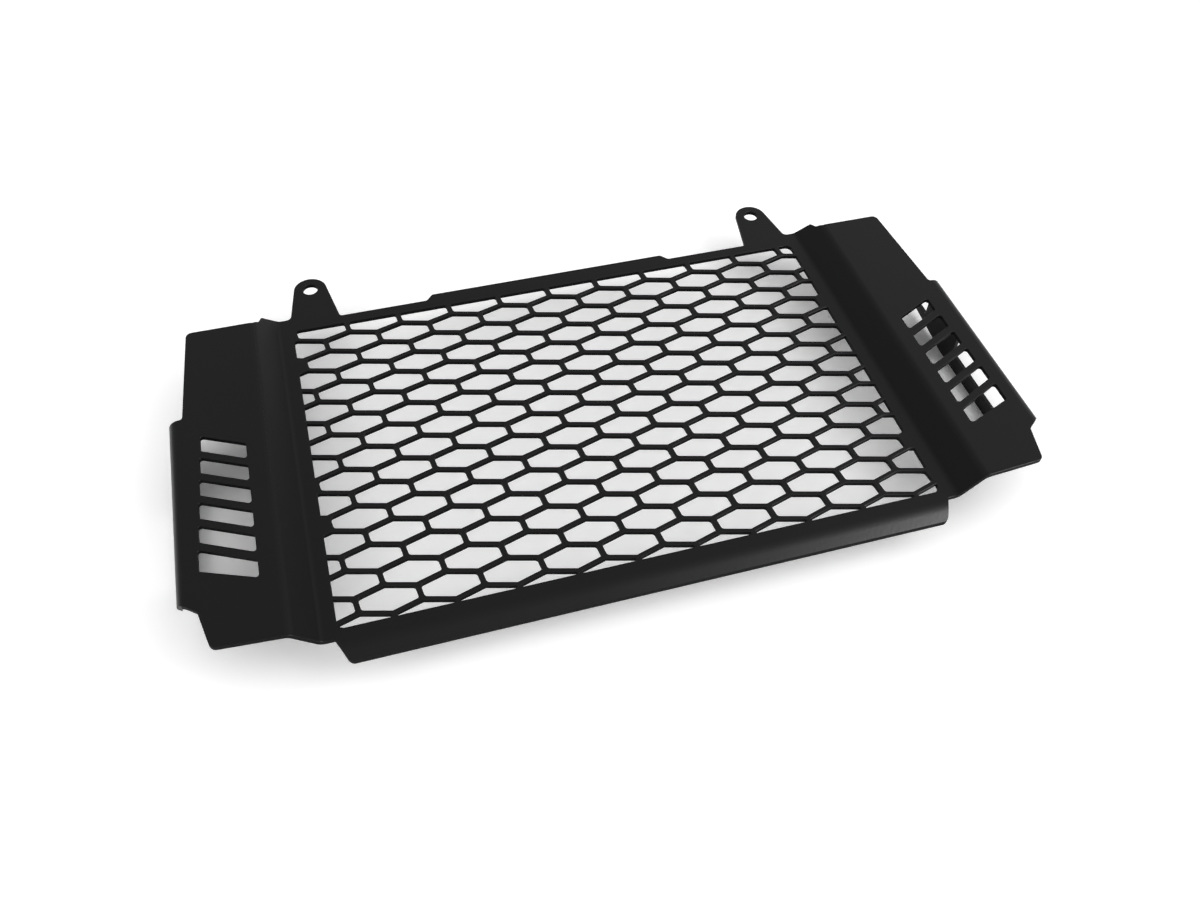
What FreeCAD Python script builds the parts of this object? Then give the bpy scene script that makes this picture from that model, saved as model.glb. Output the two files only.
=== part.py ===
import FreeCAD, Part
import math
import os

# Radiator grille for a motorbike: one aluminium sheet, laser cut, folded and coated.
# A flat panel holds a window of squashed, leaning hexagons. At each side the sheet steps up
# to a louvred wing, whose outer edge is folded down into a flange that stands on the radiator.
# Sizes are in millimetres. The sheet is drawn about its middle plane, with the window's middle
# at x = y = 0, then set down with the lowest edges at z = 0.

# The sheet and its folds
sheet = 2.0
bend_radius = 3.0

# Window of the mesh and the rims round it
window_width = 248.0
window_depth = 162.4
window_corner = 3.0
side_rim = 6.3
rear_rim = 5.4
front_rim = 3.5
edge_corner = 1.5

# Hexagon mesh: each row is shifted half a cell, less a little, so that the columns lean
cell_pitch = 24.0
row_pitch = 10.1
row_lean = 1.3
upright_strut = 2.25
slant_strut = 1.85
mesh_offset_x = 11.3
mesh_offset_y = 58.5
smallest_opening = 18.0

# Raised middle and raised shoulders of the rear rim
crest_width = 115.0
crest_rise = 3.5
crest_slope = 3.2
shoulder_rise = 2.8
shoulder_run = 6.2
shoulder_fall = 2.5
notch_run = 1.2
notch_depth = 3.9

# Ears with the upper fixing holes
ear_inset = 17.1
ear_base = 23.0
ear_reach = 21.5
ear_tip_radius = 7.7
ear_hole = 7.0
ear_fillet = 2.5

# Step up from the panel to the wings
wing_rise = 10.0
step_angle = 45.0

# Wings
wing_width = 38.7
wing_setback = 5.6
wing_rear_inset = 9.8
wing_waist_inset = 6.3
wing_nose_inset = 8.0
wing_front_inset = 11.8
wing_front_setback = 1.2
wing_corner = 2.8

# Slanted slots of a wing, with the last one opened a little at its front edge
slot_count = 6
slot_pitch = 11.8
slot_bar = 3.7
slot_angle = 25.6
last_slot_angle = 21.4
slot_inset = 7.9
slot_first = 71.7
slot_outer_inset = 12.9
slot_growth = 0.7
slot_corner = 1.0

# Side flanges: a post at the rear, a bar along the foot and a window between them
flange_start = 51.9
flange_length = 89.7
flange_front_angle = 39.0
flange_drop = 30.0
flange_knee = 71.6
post_width = 28.0
bar_height = 7.0
band_height = 11.0
front_post = 8.0
spur_length = 10.0
spur_height = 2.7
flange_corner = 2.0

# Front lip
lip_width = 251.0
lip_lead = 0.6
lip_offset = 3.7
lip_reach = 6.1
lip_angle = 25.0
lip_bend_radius = 9.5
lip_taper = 4.1
lip_corner = 3.0

# Places that follow from those sizes
window_side = window_width / 2
window_rear = window_depth / 2
panel_bend = window_side + side_rim
wing_bend = panel_bend + wing_rise / math.tan(math.radians(step_angle))
flange_face = wing_bend + wing_width
rim_edge = window_rear + rear_rim
crest_edge = rim_edge + crest_rise
shoulder_edge = rim_edge + shoulder_rise
front_edge = -(window_rear + front_rim)
wing_rear = rim_edge - wing_setback
flange_rear = wing_rear - flange_start
flange_front = flange_rear - flange_length
ear_x = panel_bend - ear_inset
ear_y = rim_edge + ear_reach
wing_top = wing_rise + sheet / 2
flange_leg = wing_top - sheet - bend_radius
foot = wing_top - flange_drop
lip_root = front_edge - lip_lead
lip_bend = front_edge - lip_offset
lip_tip = lip_bend - lip_reach


def plan(x, y):
    return FreeCAD.Vector(x, y, 0)


def front_view(x, z):
    return FreeCAD.Vector(x, 0, z)


def side_view(y, z):
    return FreeCAD.Vector(0, y, z)


def rounded_corner(last, corner, following, view):
    """Start, middle and end of the arc at a corner, as large as its two sides have room for."""
    point = view(*corner[:2])
    radius = corner[2]
    if radius == 0:
        return point, point, point
    others = (last, following)
    sides = [view(*other[:2]) - point for other in others]
    rooms = [side.Length * radius / (radius + other[2]) for side, other in zip(sides, others)]
    half_angle = sides[0].getAngle(sides[1]) / 2
    tangent = min(radius / math.tan(half_angle), *rooms)
    start, end = [point + side * (tangent / side.Length) for side in sides]
    bisector = start + end - point * 2
    depth = tangent / math.cos(half_angle) - tangent * math.tan(half_angle)
    return start, point + bisector * (depth / bisector.Length), end


def rounded_face(corners, view):
    """Face of a closed outline of (u, v, radius) corners."""
    count = len(corners)
    arcs = []
    for index, corner in enumerate(corners):
        arcs.append(rounded_corner(corners[index - 1], corner, corners[(index + 1) % count], view))
    edges = []
    for index, (start, middle, end) in enumerate(arcs):
        if start != end:
            edges.append(Part.Arc(start, middle, end).toShape())
        following = arcs[(index + 1) % count][0]
        if (following - end).Length > 1e-6:
            edges.append(Part.LineSegment(end, following).toShape())
    return Part.Face(Part.Wire(edges))


def folded_face(path, view, inner_radius):
    """Cross-section of the sheet along a path of (u, v) points, with a bend at each inner point."""
    sides = []
    for side in (1, -1):
        corners = []
        for index, (u, v) in enumerate(path):
            before = path[max(index - 1, 0)]
            after = path[min(index + 1, len(path) - 1)]
            turn_in = math.atan2(v - before[1], u - before[0])
            turn_out = math.atan2(after[1] - v, after[0] - u)
            if index == 0:
                turn_in = turn_out
            if index == len(path) - 1:
                turn_out = turn_in
            half_turn = (turn_out - turn_in + math.pi) % (2 * math.pi) / 2 - math.pi / 2
            reach = side * sheet / 2 / math.cos(half_turn)
            normal = turn_in + half_turn + math.pi / 2
            inside = side * half_turn > 0
            radius = inner_radius if inside else inner_radius + sheet
            radius = 0 if abs(half_turn) < 1e-9 else radius
            corners.append((u + reach * math.cos(normal), v + reach * math.sin(normal), radius))
        sides.append(corners)
    return rounded_face(sides[0] + sides[1][::-1], view)


def mirrored(corners):
    """The corners of a right half followed by those of the left half, in order round the sheet."""
    return corners + [(-x, y, radius) for x, y, radius in reversed(corners)]


def both_sides(shape):
    return [shape, shape.mirror(FreeCAD.Vector(), FreeCAD.Vector(1, 0, 0))]


def through_tool(face):
    """A face of the plan drawn out far above and below the folded sheet."""
    height = FreeCAD.Vector(0, 0, wing_rise + flange_drop)
    tool = face.extrude(height * 2)
    tool.translate(-height)
    return tool


# Panel, steps, wings and the bends into the flanges: one folded section drawn out front to rear
flange_middle = flange_face - sheet / 2
fold_path = [
    (flange_middle, flange_leg),
    (flange_middle, wing_rise),
    (wing_bend, wing_rise),
    (panel_bend, 0),
]
fold_path = fold_path + [(-x, z) for x, z in reversed(fold_path)]
deck_half = FreeCAD.Vector(0, window_depth + ear_reach, 0)
deck = folded_face(fold_path, front_view, bend_radius).extrude(deck_half * 2)
deck.translate(-deck_half)

# Outline that the folded section is cut to, from the rear middle round to the front edge
ear_diagonal = math.hypot(ear_base / 2, ear_reach)
ear_lean = math.acos(ear_tip_radius / ear_diagonal) - math.atan2(ear_reach, ear_base / 2)
ear_apex = rim_edge + ear_base / 2 / math.tan(ear_lean)
ear_outside = ear_x + ear_base / 2 - shoulder_rise * math.tan(ear_lean)
shoulder_tip = panel_bend + shoulder_run
shoulder_foot = shoulder_edge - shoulder_fall
past_flange = flange_face + sheet
front_slope = math.tan(math.radians(flange_front_angle))
deck_outline = mirrored([
    (crest_width / 2, crest_edge, edge_corner),
    (crest_width / 2 + crest_slope, rim_edge, edge_corner),
    (ear_x - ear_base / 2, rim_edge, edge_corner),
    (ear_x, ear_apex, ear_tip_radius),
    (ear_outside, shoulder_edge, ear_fillet),
    (panel_bend, shoulder_edge, ear_fillet),
    (shoulder_tip, shoulder_foot, edge_corner),
    (shoulder_tip + notch_run, shoulder_foot - notch_depth, edge_corner),
    (wing_bend, wing_rear, edge_corner),
    (flange_face - wing_rear_inset, wing_rear, wing_corner),
    (flange_face - wing_waist_inset, flange_rear, edge_corner),
    (past_flange, flange_rear, 0),
    (past_flange, flange_front + sheet * front_slope, 0),
    (flange_face - wing_nose_inset, flange_front - wing_nose_inset * front_slope, edge_corner),
    (flange_face - wing_front_inset, front_edge + wing_front_setback, wing_corner),
    (wing_bend, lip_root, edge_corner),
    (lip_width / 2, lip_root, 0),
])
grille = deck.common(through_tool(rounded_face(deck_outline, plan)))

# Front lip: the same sheet folded down along the panel's front edge
lip_run = lip_reach + 2 * sheet
lip_path = [
    (-window_rear, 0),
    (lip_bend, 0),
    (lip_bend - lip_run, -lip_run * math.tan(math.radians(lip_angle))),
]
lip = folded_face(lip_path, side_view, lip_bend_radius).extrude(FreeCAD.Vector(lip_width, 0, 0))
lip.translate(FreeCAD.Vector(-lip_width / 2, 0, 0))
lip_outline = mirrored([
    (lip_width / 2, lip_root, 0),
    (lip_width / 2 - lip_taper, lip_tip, lip_corner),
])
lip = lip.common(through_tool(rounded_face(lip_outline, plan)))

# Side flange below its bend: post, foot bar with a rising heel, and the window above the bar
bar_top = foot + bar_height
band_foot = wing_top - band_height
spur_end = flange_rear + spur_length
flange_outline = [
    (flange_rear, flange_leg, 0),
    (flange_rear, bar_top, flange_corner),
    (spur_end, bar_top, 0),
    (spur_end, bar_top - spur_height, 0),
    (wing_rear - flange_knee, foot, 0),
    (flange_front + (flange_leg - foot) * front_slope, foot, flange_corner),
    (flange_front, flange_leg, 0),
]
post_front = flange_rear - post_width
window_front = flange_front + front_post / math.cos(math.radians(flange_front_angle))
flange_window = [
    (post_front, band_foot, flange_corner),
    (post_front, bar_top, flange_corner),
    (window_front + (flange_leg - bar_top) * front_slope, bar_top, flange_corner),
    (window_front + (flange_leg - band_foot) * front_slope, band_foot, flange_corner),
]
flange = rounded_face(flange_outline, side_view).cut(rounded_face(flange_window, side_view))
flange = flange.extrude(FreeCAD.Vector(sheet, 0, 0))
flange.translate(FreeCAD.Vector(flange_face - sheet, 0, 0))
grille = grille.fuse([lip] + both_sides(flange))

# Mesh: every cell of the leaning hexagon grid that shows in the window, clipped by its edge
window = rounded_face([
    (window_side, window_rear, window_corner),
    (-window_side, window_rear, window_corner),
    (-window_side, -window_rear, window_corner),
    (window_side, -window_rear, window_corner),
], plan)
half_cell = cell_pitch / 2
lean = row_lean / row_pitch
side_slope = row_pitch / half_cell / 3


def cell_face(x, y):
    """One opening: a squashed hexagon between its struts, sheared by the lean."""
    half_width = half_cell - upright_strut / 2
    gap = slant_strut / 2 * math.hypot(1, side_slope)
    peak = 2 * row_pitch / 3 - gap
    shoulder = peak - half_width * side_slope
    half = [(0, peak), (half_width, shoulder), (half_width, -shoulder)]
    corners = [plan(x + u - lean * v, y + v) for u, v in half]
    corners = corners + [plan(x - u + lean * v, y - v) for u, v in half]
    return Part.Face(Part.makePolygon(corners + corners[:1]))


openings = []
last_row = int(window_depth / row_pitch) + 1
last_column = int(window_width / cell_pitch) + 1
for row in range(-last_row, last_row + 1):
    for column in range(-last_column, last_column + 1):
        x = mesh_offset_x + column * cell_pitch + row % 2 * half_cell - row * row_lean
        y = mesh_offset_y + row * row_pitch
        if abs(x) > window_side + cell_pitch or abs(y) > window_rear + row_pitch:
            continue
        opening = cell_face(x, y).common(window)
        if opening.Area > smallest_opening:
            openings.append(opening)

# Slots of the right wing, slanting forward towards the panel
slot_depth = slot_pitch - slot_bar
slots = []
for index in range(slot_count):
    inner = wing_bend + slot_inset
    outer = flange_face - slot_outer_inset + index * slot_growth
    rear = wing_rear - slot_first - index * slot_pitch
    front_angle = last_slot_angle if index == slot_count - 1 else slot_angle
    rear_climb = (outer - inner) * math.tan(math.radians(slot_angle))
    front_climb = (outer - inner) * math.tan(math.radians(front_angle))
    slots.append(rounded_face([
        (inner, rear, slot_corner),
        (outer, rear + rear_climb, slot_corner),
        (outer, rear - slot_depth + front_climb, slot_corner),
        (inner, rear - slot_depth, slot_corner),
    ], plan))

# Fixing hole of the right ear
ear_circle = Part.makeCircle(ear_hole / 2, plan(ear_x, ear_y))
ear_opening = Part.Face(Part.Wire([ear_circle]))

# Everything cut through the sheet, cut in one go
cuts = []
for face in openings:
    tool = face.extrude(FreeCAD.Vector(0, 0, 2 * sheet))
    tool.translate(FreeCAD.Vector(0, 0, -sheet))
    cuts.append(tool)
for face in slots + [ear_opening]:
    cuts.extend(both_sides(through_tool(face)))
grille = grille.cut(cuts).removeSplitter()

# Set down on its feet, with the middle of its plan at the origin
box = grille.BoundBox
grille.translate(FreeCAD.Vector(-box.Center.x, -box.Center.y, -box.ZMin))
os.makedirs("parts", exist_ok=True)
grille.exportStep("parts/radiator_grille.step")
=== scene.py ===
import math

import bmesh
import bpy
from mathutils import Euler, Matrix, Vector


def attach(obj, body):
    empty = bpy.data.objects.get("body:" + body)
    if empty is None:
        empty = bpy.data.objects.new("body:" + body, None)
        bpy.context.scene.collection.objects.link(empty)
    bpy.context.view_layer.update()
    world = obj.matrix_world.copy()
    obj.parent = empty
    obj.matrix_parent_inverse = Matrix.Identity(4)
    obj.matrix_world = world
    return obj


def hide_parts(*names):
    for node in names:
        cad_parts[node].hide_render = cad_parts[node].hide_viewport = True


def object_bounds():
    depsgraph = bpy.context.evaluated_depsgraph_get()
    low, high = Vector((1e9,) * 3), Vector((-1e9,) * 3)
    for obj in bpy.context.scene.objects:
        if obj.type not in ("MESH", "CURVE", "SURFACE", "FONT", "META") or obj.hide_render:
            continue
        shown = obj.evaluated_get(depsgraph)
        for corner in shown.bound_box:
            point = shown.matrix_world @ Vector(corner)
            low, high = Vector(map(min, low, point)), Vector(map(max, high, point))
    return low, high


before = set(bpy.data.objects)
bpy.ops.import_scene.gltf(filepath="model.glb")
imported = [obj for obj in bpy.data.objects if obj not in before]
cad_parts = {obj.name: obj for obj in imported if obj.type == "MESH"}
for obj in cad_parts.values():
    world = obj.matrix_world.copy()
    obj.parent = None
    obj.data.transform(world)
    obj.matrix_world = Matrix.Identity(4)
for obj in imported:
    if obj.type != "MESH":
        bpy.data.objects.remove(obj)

cad_low, cad_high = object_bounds()

# Folded sheet: one blank of 2 mm aluminium, laser cut with its mesh, slots and ear holes, then folded
# on a press brake. The mesh's corners are cut with a small radius, but are sharp along the window's
# sides. Deburring and the coat round every cut edge a little, so that it catches the light.
bare_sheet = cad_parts["radiator_grille"]
sheet = 0.002
panel_middle = 0.019
panel_reach = sheet * 0.6
panel_flats = (panel_middle + sheet / 2, panel_middle - sheet / 2)
weld_gap = 1e-6
flat_angle = math.radians(0.5)
corner_reach = 0.0009
corner_steps = 4
sharp_turn = math.radians(50)
shortest_side = 0.0022
straight_across = 0.9999
edge_radius = 0.0002
edge_steps = 3
fold_angle = math.radians(32)
flat_weight = 100

coated_sheet = bpy.data.objects.new("coated_sheet", bare_sheet.data.copy())
bpy.context.scene.collection.objects.link(coated_sheet)
bpy.ops.object.select_all(action="DESELECT")
coated_sheet.select_set(True)
bpy.context.view_layer.objects.active = coated_sheet
bpy.ops.object.mode_set(mode="EDIT")
bpy.ops.mesh.select_all(action="SELECT")
bpy.ops.mesh.remove_doubles(threshold=weld_gap)
bpy.ops.object.mode_set(mode="OBJECT")


def round_corner(body, corner):
    """Turns an upright inside corner of the body into a fillet between its two walls.

    The flats above and below it are left open at the fillet, to be refilled.
    """
    top, foot = sorted(corner.verts, key=lambda vert: -vert.co.z)
    tangents = []
    for wall in list(corner.link_faces):
        ends = []
        for vert in (top, foot):
            side = [edge for edge in vert.link_edges if edge in wall.edges and edge != corner][0]
            ends.append(bmesh.utils.edge_split(side, vert, corner_reach / side.calc_length())[1])
        bmesh.utils.face_split(wall, ends[0], ends[1])
        tangents.append(ends)
    bmesh.ops.delete(body, geom=list(corner.link_faces), context="FACES_ONLY")
    body.edges.remove(corner)
    arcs = []
    for level, vert in enumerate((top, foot)):
        start, end = tangents[0][level], tangents[1][level]
        half = (start.co - vert.co).angle(end.co - vert.co) / 2
        bisector = (start.co + end.co - vert.co * 2).normalized()
        centre = vert.co + bisector * (corner_reach / math.cos(half))
        radius = corner_reach * math.tan(half)
        first_spoke = (start.co - centre).normalized()
        last_spoke = (end.co - centre).normalized()
        arc = [start]
        for step in range(1, corner_steps):
            spoke = first_spoke.slerp(last_spoke, step / corner_steps)
            arc.append(body.verts.new(centre + spoke * radius))
        arcs.append(arc + [end])
    for step in range(corner_steps):
        upper = arcs[0][step:step + 2]
        lower = arcs[1][step:step + 2]
        body.faces.new(upper + lower[::-1])


def in_plane(verts, level):
    """Whether all the points lie at one height."""
    return max(abs(vert.co.z - level) for vert in verts) < weld_gap


def refill_flats(body, levels):
    """Gives the panel's two flats new triangles, drawn between their outlines."""
    for level in levels:
        flat = [face for face in body.faces if in_plane(face.verts, level)]
        bmesh.ops.delete(body, geom=flat, context="FACES")
        rims = [edge for edge in body.edges if edge.is_boundary and in_plane(edge.verts, level)]
        filled = bmesh.ops.triangle_fill(body, use_beauty=True, edges=rims, normal=(0, 0, 1))
        flat = [item for item in filled["geom"] if isinstance(item, bmesh.types.BMFace)]
        inner = [item for item in filled["geom"] if isinstance(item, bmesh.types.BMEdge)]
        bmesh.ops.beautify_fill(body, faces=flat, edges=inner)
    bmesh.ops.recalc_face_normals(body, faces=body.faces)


body = bmesh.new()
body.from_mesh(coated_sheet.data)
diagonals = []
for edge in body.edges:
    walls = [face for face in edge.link_faces if abs(face.normal.z) < flat_angle]
    if len(walls) == 2 and edge.calc_face_angle() < flat_angle:
        diagonals.append(edge)
bmesh.ops.dissolve_edges(body, edges=diagonals)
corners = []
for edge in body.edges:
    ends = [vert.co for vert in edge.verts]
    upright = (ends[0] - ends[1]).xy.length < weld_gap
    in_panel = max(abs(end.z - panel_middle) for end in ends) < sheet
    quads = [face for face in edge.link_faces if len(face.verts) == 4]
    if upright and in_panel and len(quads) == 2:
        roomy = min(face.calc_area() for face in quads) > sheet * shortest_side
        window_side = max(abs(face.normal.x) for face in quads) > straight_across
        if roomy and not window_side and edge.calc_face_angle_signed() < -sharp_turn:
            corners.append(edge)
for corner in corners:
    round_corner(body, corner)
refill_flats(body, panel_flats)
body.to_mesh(coated_sheet.data)
body.free()

bpy.ops.object.mode_set(mode="EDIT")
bpy.ops.mesh.select_mode(type="FACE")
bpy.ops.mesh.select_all(action="DESELECT")
bpy.ops.object.mode_set(mode="OBJECT")
for face in coated_sheet.data.polygons:
    heights = [coated_sheet.data.vertices[index].co.z for index in face.vertices]
    face.select = max(abs(height - panel_middle) for height in heights) > panel_reach
bpy.ops.object.mode_set(mode="EDIT")
bpy.ops.mesh.dissolve_limited(angle_limit=flat_angle)
bpy.ops.object.mode_set(mode="OBJECT")

edge_round = coated_sheet.modifiers.new("edge_round", "BEVEL")
edge_round.width = edge_radius
edge_round.segments = edge_steps
edge_round.limit_method = "ANGLE"
edge_round.angle_limit = fold_angle
edge_round.use_clamp_overlap = False
edge_round.loop_slide = False
bpy.ops.object.modifier_apply(modifier=edge_round.name)
body = bmesh.new()
body.from_mesh(coated_sheet.data)
refill_flats(body, panel_flats)
body.to_mesh(coated_sheet.data)
body.free()
bpy.ops.object.shade_smooth()
flat_faces = coated_sheet.modifiers.new("flat_faces", "WEIGHTED_NORMAL")
flat_faces.weight = flat_weight
bpy.ops.object.modifier_apply(modifier=flat_faces.name)
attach(coated_sheet, "root")
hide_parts("radiator_grille")


# Powder coat: fine black polyester powder, sprayed on and baked to a satin film. It flows out to a
# faint orange peel, with a fine grain in its gloss and a slow drift where the film is thicker. On the
# walls of the openings the powder lies thin and dry, so they are duller.
class Wire:
    """A socket of a node tree, with arithmetic that adds Math nodes."""

    def __init__(self, tree, socket):
        self.tree = tree
        self.socket = socket

    def node(self, kind, settings, inputs, output=0):
        """Adds a node with its settings, then its sockets' values or links, and gives one output."""
        made = self.tree.nodes.new(kind)
        for name, value in settings.items():
            setattr(made, name, value)
        for name, value in inputs.items():
            if isinstance(value, Wire):
                self.tree.links.new(value.socket, made.inputs[name])
            else:
                made.inputs[name].default_value = value
        return Wire(self.tree, made.outputs[output])

    def math(self, operation, first, second):
        return self.node("ShaderNodeMath", {"operation": operation}, {0: first, 1: second})

    def __add__(self, other):
        return self.math("ADD", self, other)

    def __mul__(self, other):
        return self.math("MULTIPLY", self, other)

    def __lt__(self, other):
        return self.math("LESS_THAN", self, other)

    def __abs__(self):
        return self.math("ABSOLUTE", self, 0.0)

    __radd__ = __add__
    __rmul__ = __mul__


def new_material(name):
    """An empty material, its output node and a first wire on its Object coordinates."""
    material = bpy.data.materials.new(name)
    material.use_nodes = True
    material.node_tree.nodes.clear()
    output = material.node_tree.nodes.new("ShaderNodeOutputMaterial")
    coordinates = material.node_tree.nodes.new("ShaderNodeTexCoord")
    return material, output, Wire(material.node_tree, coordinates.outputs["Object"])


coat_dark = (0.0034, 0.0034, 0.0035, 1.0)
coat_pale = (0.0052, 0.0052, 0.0053, 1.0)
coat_roughness = 0.34
coat_gloss = 0.17
drift_per_metre = 22.0
drift_in_gloss = 0.08
grain_per_metre = 2600.0
grain_in_gloss = 0.12
peel_per_metre = 650.0
peel_strength = 0.12
peel_height = 0.0002
grain_in_peel = 0.3
dry_roughness = 0.6
dry_gloss = 0.04
dry_share = 0.85
wall_slant = 0.4
wall_upright = 0.1
flange_inside = 0.1765

powder_coat, coat_output, place = new_material("powder_coat")
drift = place.node(
    "ShaderNodeTexNoise", {}, {"Vector": place, "Scale": drift_per_metre, "Detail": 2.0}
)
peel = place.node(
    "ShaderNodeTexNoise", {}, {"Vector": place, "Scale": peel_per_metre, "Detail": 1.0}
)
grain = place.node(
    "ShaderNodeTexNoise", {}, {"Vector": place, "Scale": grain_per_metre, "Detail": 2.0}
)
tone = place.node(
    "ShaderNodeMix",
    {"data_type": "RGBA"},
    {"Factor": drift * 0.5 + grain * 0.5, "A": coat_dark, "B": coat_pale},
    output="Result",
)
smoothest = coat_roughness - (drift_in_gloss + grain_in_gloss) / 2
orange_peel = place.node(
    "ShaderNodeBump",
    {},
    {"Strength": peel_strength, "Distance": peel_height, "Height": peel + grain * grain_in_peel},
)
coat_shader = place.node(
    "ShaderNodeBsdfPrincipled",
    {},
    {
        "Base Color": tone,
        "Roughness": drift * drift_in_gloss + grain * grain_in_gloss + smoothest,
        "Specular IOR Level": coat_gloss,
        "Normal": orange_peel,
    },
)
facing = place.node("ShaderNodeTexCoord", {}, {}, output="Normal")
facing_up = place.node("ShaderNodeSeparateXYZ", {}, {0: facing}, output="Z")
across = place.node("ShaderNodeSeparateXYZ", {}, {0: place}, output="X")
wall = place.node(
    "ShaderNodeMapRange",
    {"interpolation_type": "SMOOTHSTEP"},
    {"Value": abs(facing_up), "From Min": wall_slant, "From Max": wall_upright},
)
cut_wall = wall * (abs(across) < flange_inside)
dry_shader = place.node(
    "ShaderNodeBsdfPrincipled",
    {},
    {"Base Color": coat_dark, "Roughness": dry_roughness, "Specular IOR Level": dry_gloss},
)
whole_coat = place.node(
    "ShaderNodeMixShader", {}, {0: cut_wall * dry_share, 1: coat_shader, 2: dry_shader}
)
powder_coat.node_tree.links.new(whole_coat.socket, coat_output.inputs["Surface"])
coated_sheet.data.materials.clear()
coated_sheet.data.materials.append(powder_coat)

# Floor: a wide sheet of matt white paper. It stays white to the eye and in reflections, keeps the
# grille's soft shadow, and fades into the studio's grey far away.
floor_size = 12.0
floor_white = 0.92
floor_lift = 0.3
studio_grey = 0.4
fade_start = 0.8
fade_end = 1.4

bpy.ops.mesh.primitive_plane_add(size=floor_size)
floor = bpy.context.object
floor.name = "floor"
paper, paper_output, place = new_material("white_paper")
to_eye = place.node("ShaderNodeLightPath", {}, {}, output="Is Camera Ray")
to_gloss = place.node("ShaderNodeLightPath", {}, {}, output="Is Glossy Ray")
to_glass = place.node("ShaderNodeLightPath", {}, {}, output="Is Transmission Ray")
seen = to_eye + to_gloss + to_glass
matt = place.node("ShaderNodeBsdfDiffuse", {}, {"Color": seen * floor_lift + floor_white})
grey = place.node("ShaderNodeEmission", {}, {"Strength": studio_grey})
distance = place.node("ShaderNodeVectorMath", {"operation": "LENGTH"}, {0: place}, output="Value")
fade = place.node(
    "ShaderNodeMapRange",
    {"interpolation_type": "SMOOTHSTEP"},
    {"Value": distance, "From Min": fade_start, "From Max": fade_end},
)
faded = place.node("ShaderNodeMixShader", {}, {0: fade, 1: matt, 2: grey})
paper.node_tree.links.new(faded.socket, paper_output.inputs["Surface"])
floor.data.materials.append(paper)

# Studio light: a white tent round the table, brighter at the right and in front, where the key
# stands behind its cloth, and grey at its foot. A fill on the left softens the shadow, and a narrow
# lamp beside the key shows only as a glint along the lip.
tent_white = (1.0, 1.0, 1.0, 1.0)
tent_middle = 0.68
tent_slope = 0.35
bright_side = (0.55, -0.65, 0.52)
cloth_foot = 0.35
lamp_aim = (cad_low + cad_high) / 2
key_place = (0.92, -0.45, 0.92)
key_side = 0.7
key_watts = 4.0
glint_place = (0.95, -0.57, 0.88)
glint_side = 0.3
glint_watts = 30.0
fill_place = (-1.20, -0.50, 0.75)
fill_side = 1.0
fill_watts = 6.0

tent = bpy.data.worlds.new("tent")
tent.use_nodes = True
tent.node_tree.nodes.clear()
tent_output = tent.node_tree.nodes.new("ShaderNodeOutputWorld")
coordinates = tent.node_tree.nodes.new("ShaderNodeTexCoord")
ray = Wire(tent.node_tree, coordinates.outputs["Generated"])
towards = ray.node(
    "ShaderNodeVectorMath",
    {"operation": "DOT_PRODUCT"},
    {0: ray, 1: bright_side},
    output="Value",
)
rise = ray.node("ShaderNodeSeparateXYZ", {}, {0: ray}, output="Z")
above_foot = ray.node(
    "ShaderNodeMapRange",
    {"interpolation_type": "SMOOTHSTEP"},
    {"Value": rise, "From Min": 0.0, "From Max": cloth_foot},
)
tent_light = (towards * tent_slope + (tent_middle - studio_grey)) * above_foot + studio_grey
cloth = ray.node("ShaderNodeBackground", {}, {"Color": tent_white, "Strength": tent_light})
tent.node_tree.links.new(cloth.socket, tent_output.inputs["Surface"])
bpy.context.scene.world = tent


def softbox(name, place, side, watts):
    """A square area lamp that looks at the middle of the grille."""
    lamp = bpy.data.lights.new(name, "AREA")
    lamp.shape = "RECTANGLE"
    lamp.size = side
    lamp.size_y = side
    lamp.energy = watts
    holder = bpy.data.objects.new(name, lamp)
    holder.location = place
    holder.rotation_euler = (lamp_aim - Vector(place)).to_track_quat("-Z", "Y").to_euler()
    bpy.context.scene.collection.objects.link(holder)
    return holder


softbox("key_softbox", key_place, key_side, key_watts)
glint = softbox("glint_lamp", glint_place, glint_side, glint_watts)
glint.visible_diffuse = False
fill = softbox("fill_softbox", fill_place, fill_side, fill_watts)
fill.visible_glossy = False
bpy.context.scene.view_settings.view_transform = "Standard"

# Camera: above the left front corner, looking down on the panel.
camera_place = (-0.09367, -0.30771, 0.36669)
camera_turn = Euler((math.radians(39.59), math.radians(-1.36), math.radians(-16.06)))
camera_lens = 31.86
nearest_seen = 0.01

lens = bpy.data.cameras.new("camera")
lens.lens = camera_lens
lens.clip_start = nearest_seen
camera = bpy.data.objects.new("camera", lens)
camera.location = camera_place
camera.rotation_euler = camera_turn
bpy.context.scene.collection.objects.link(camera)
bpy.context.scene.camera = camera
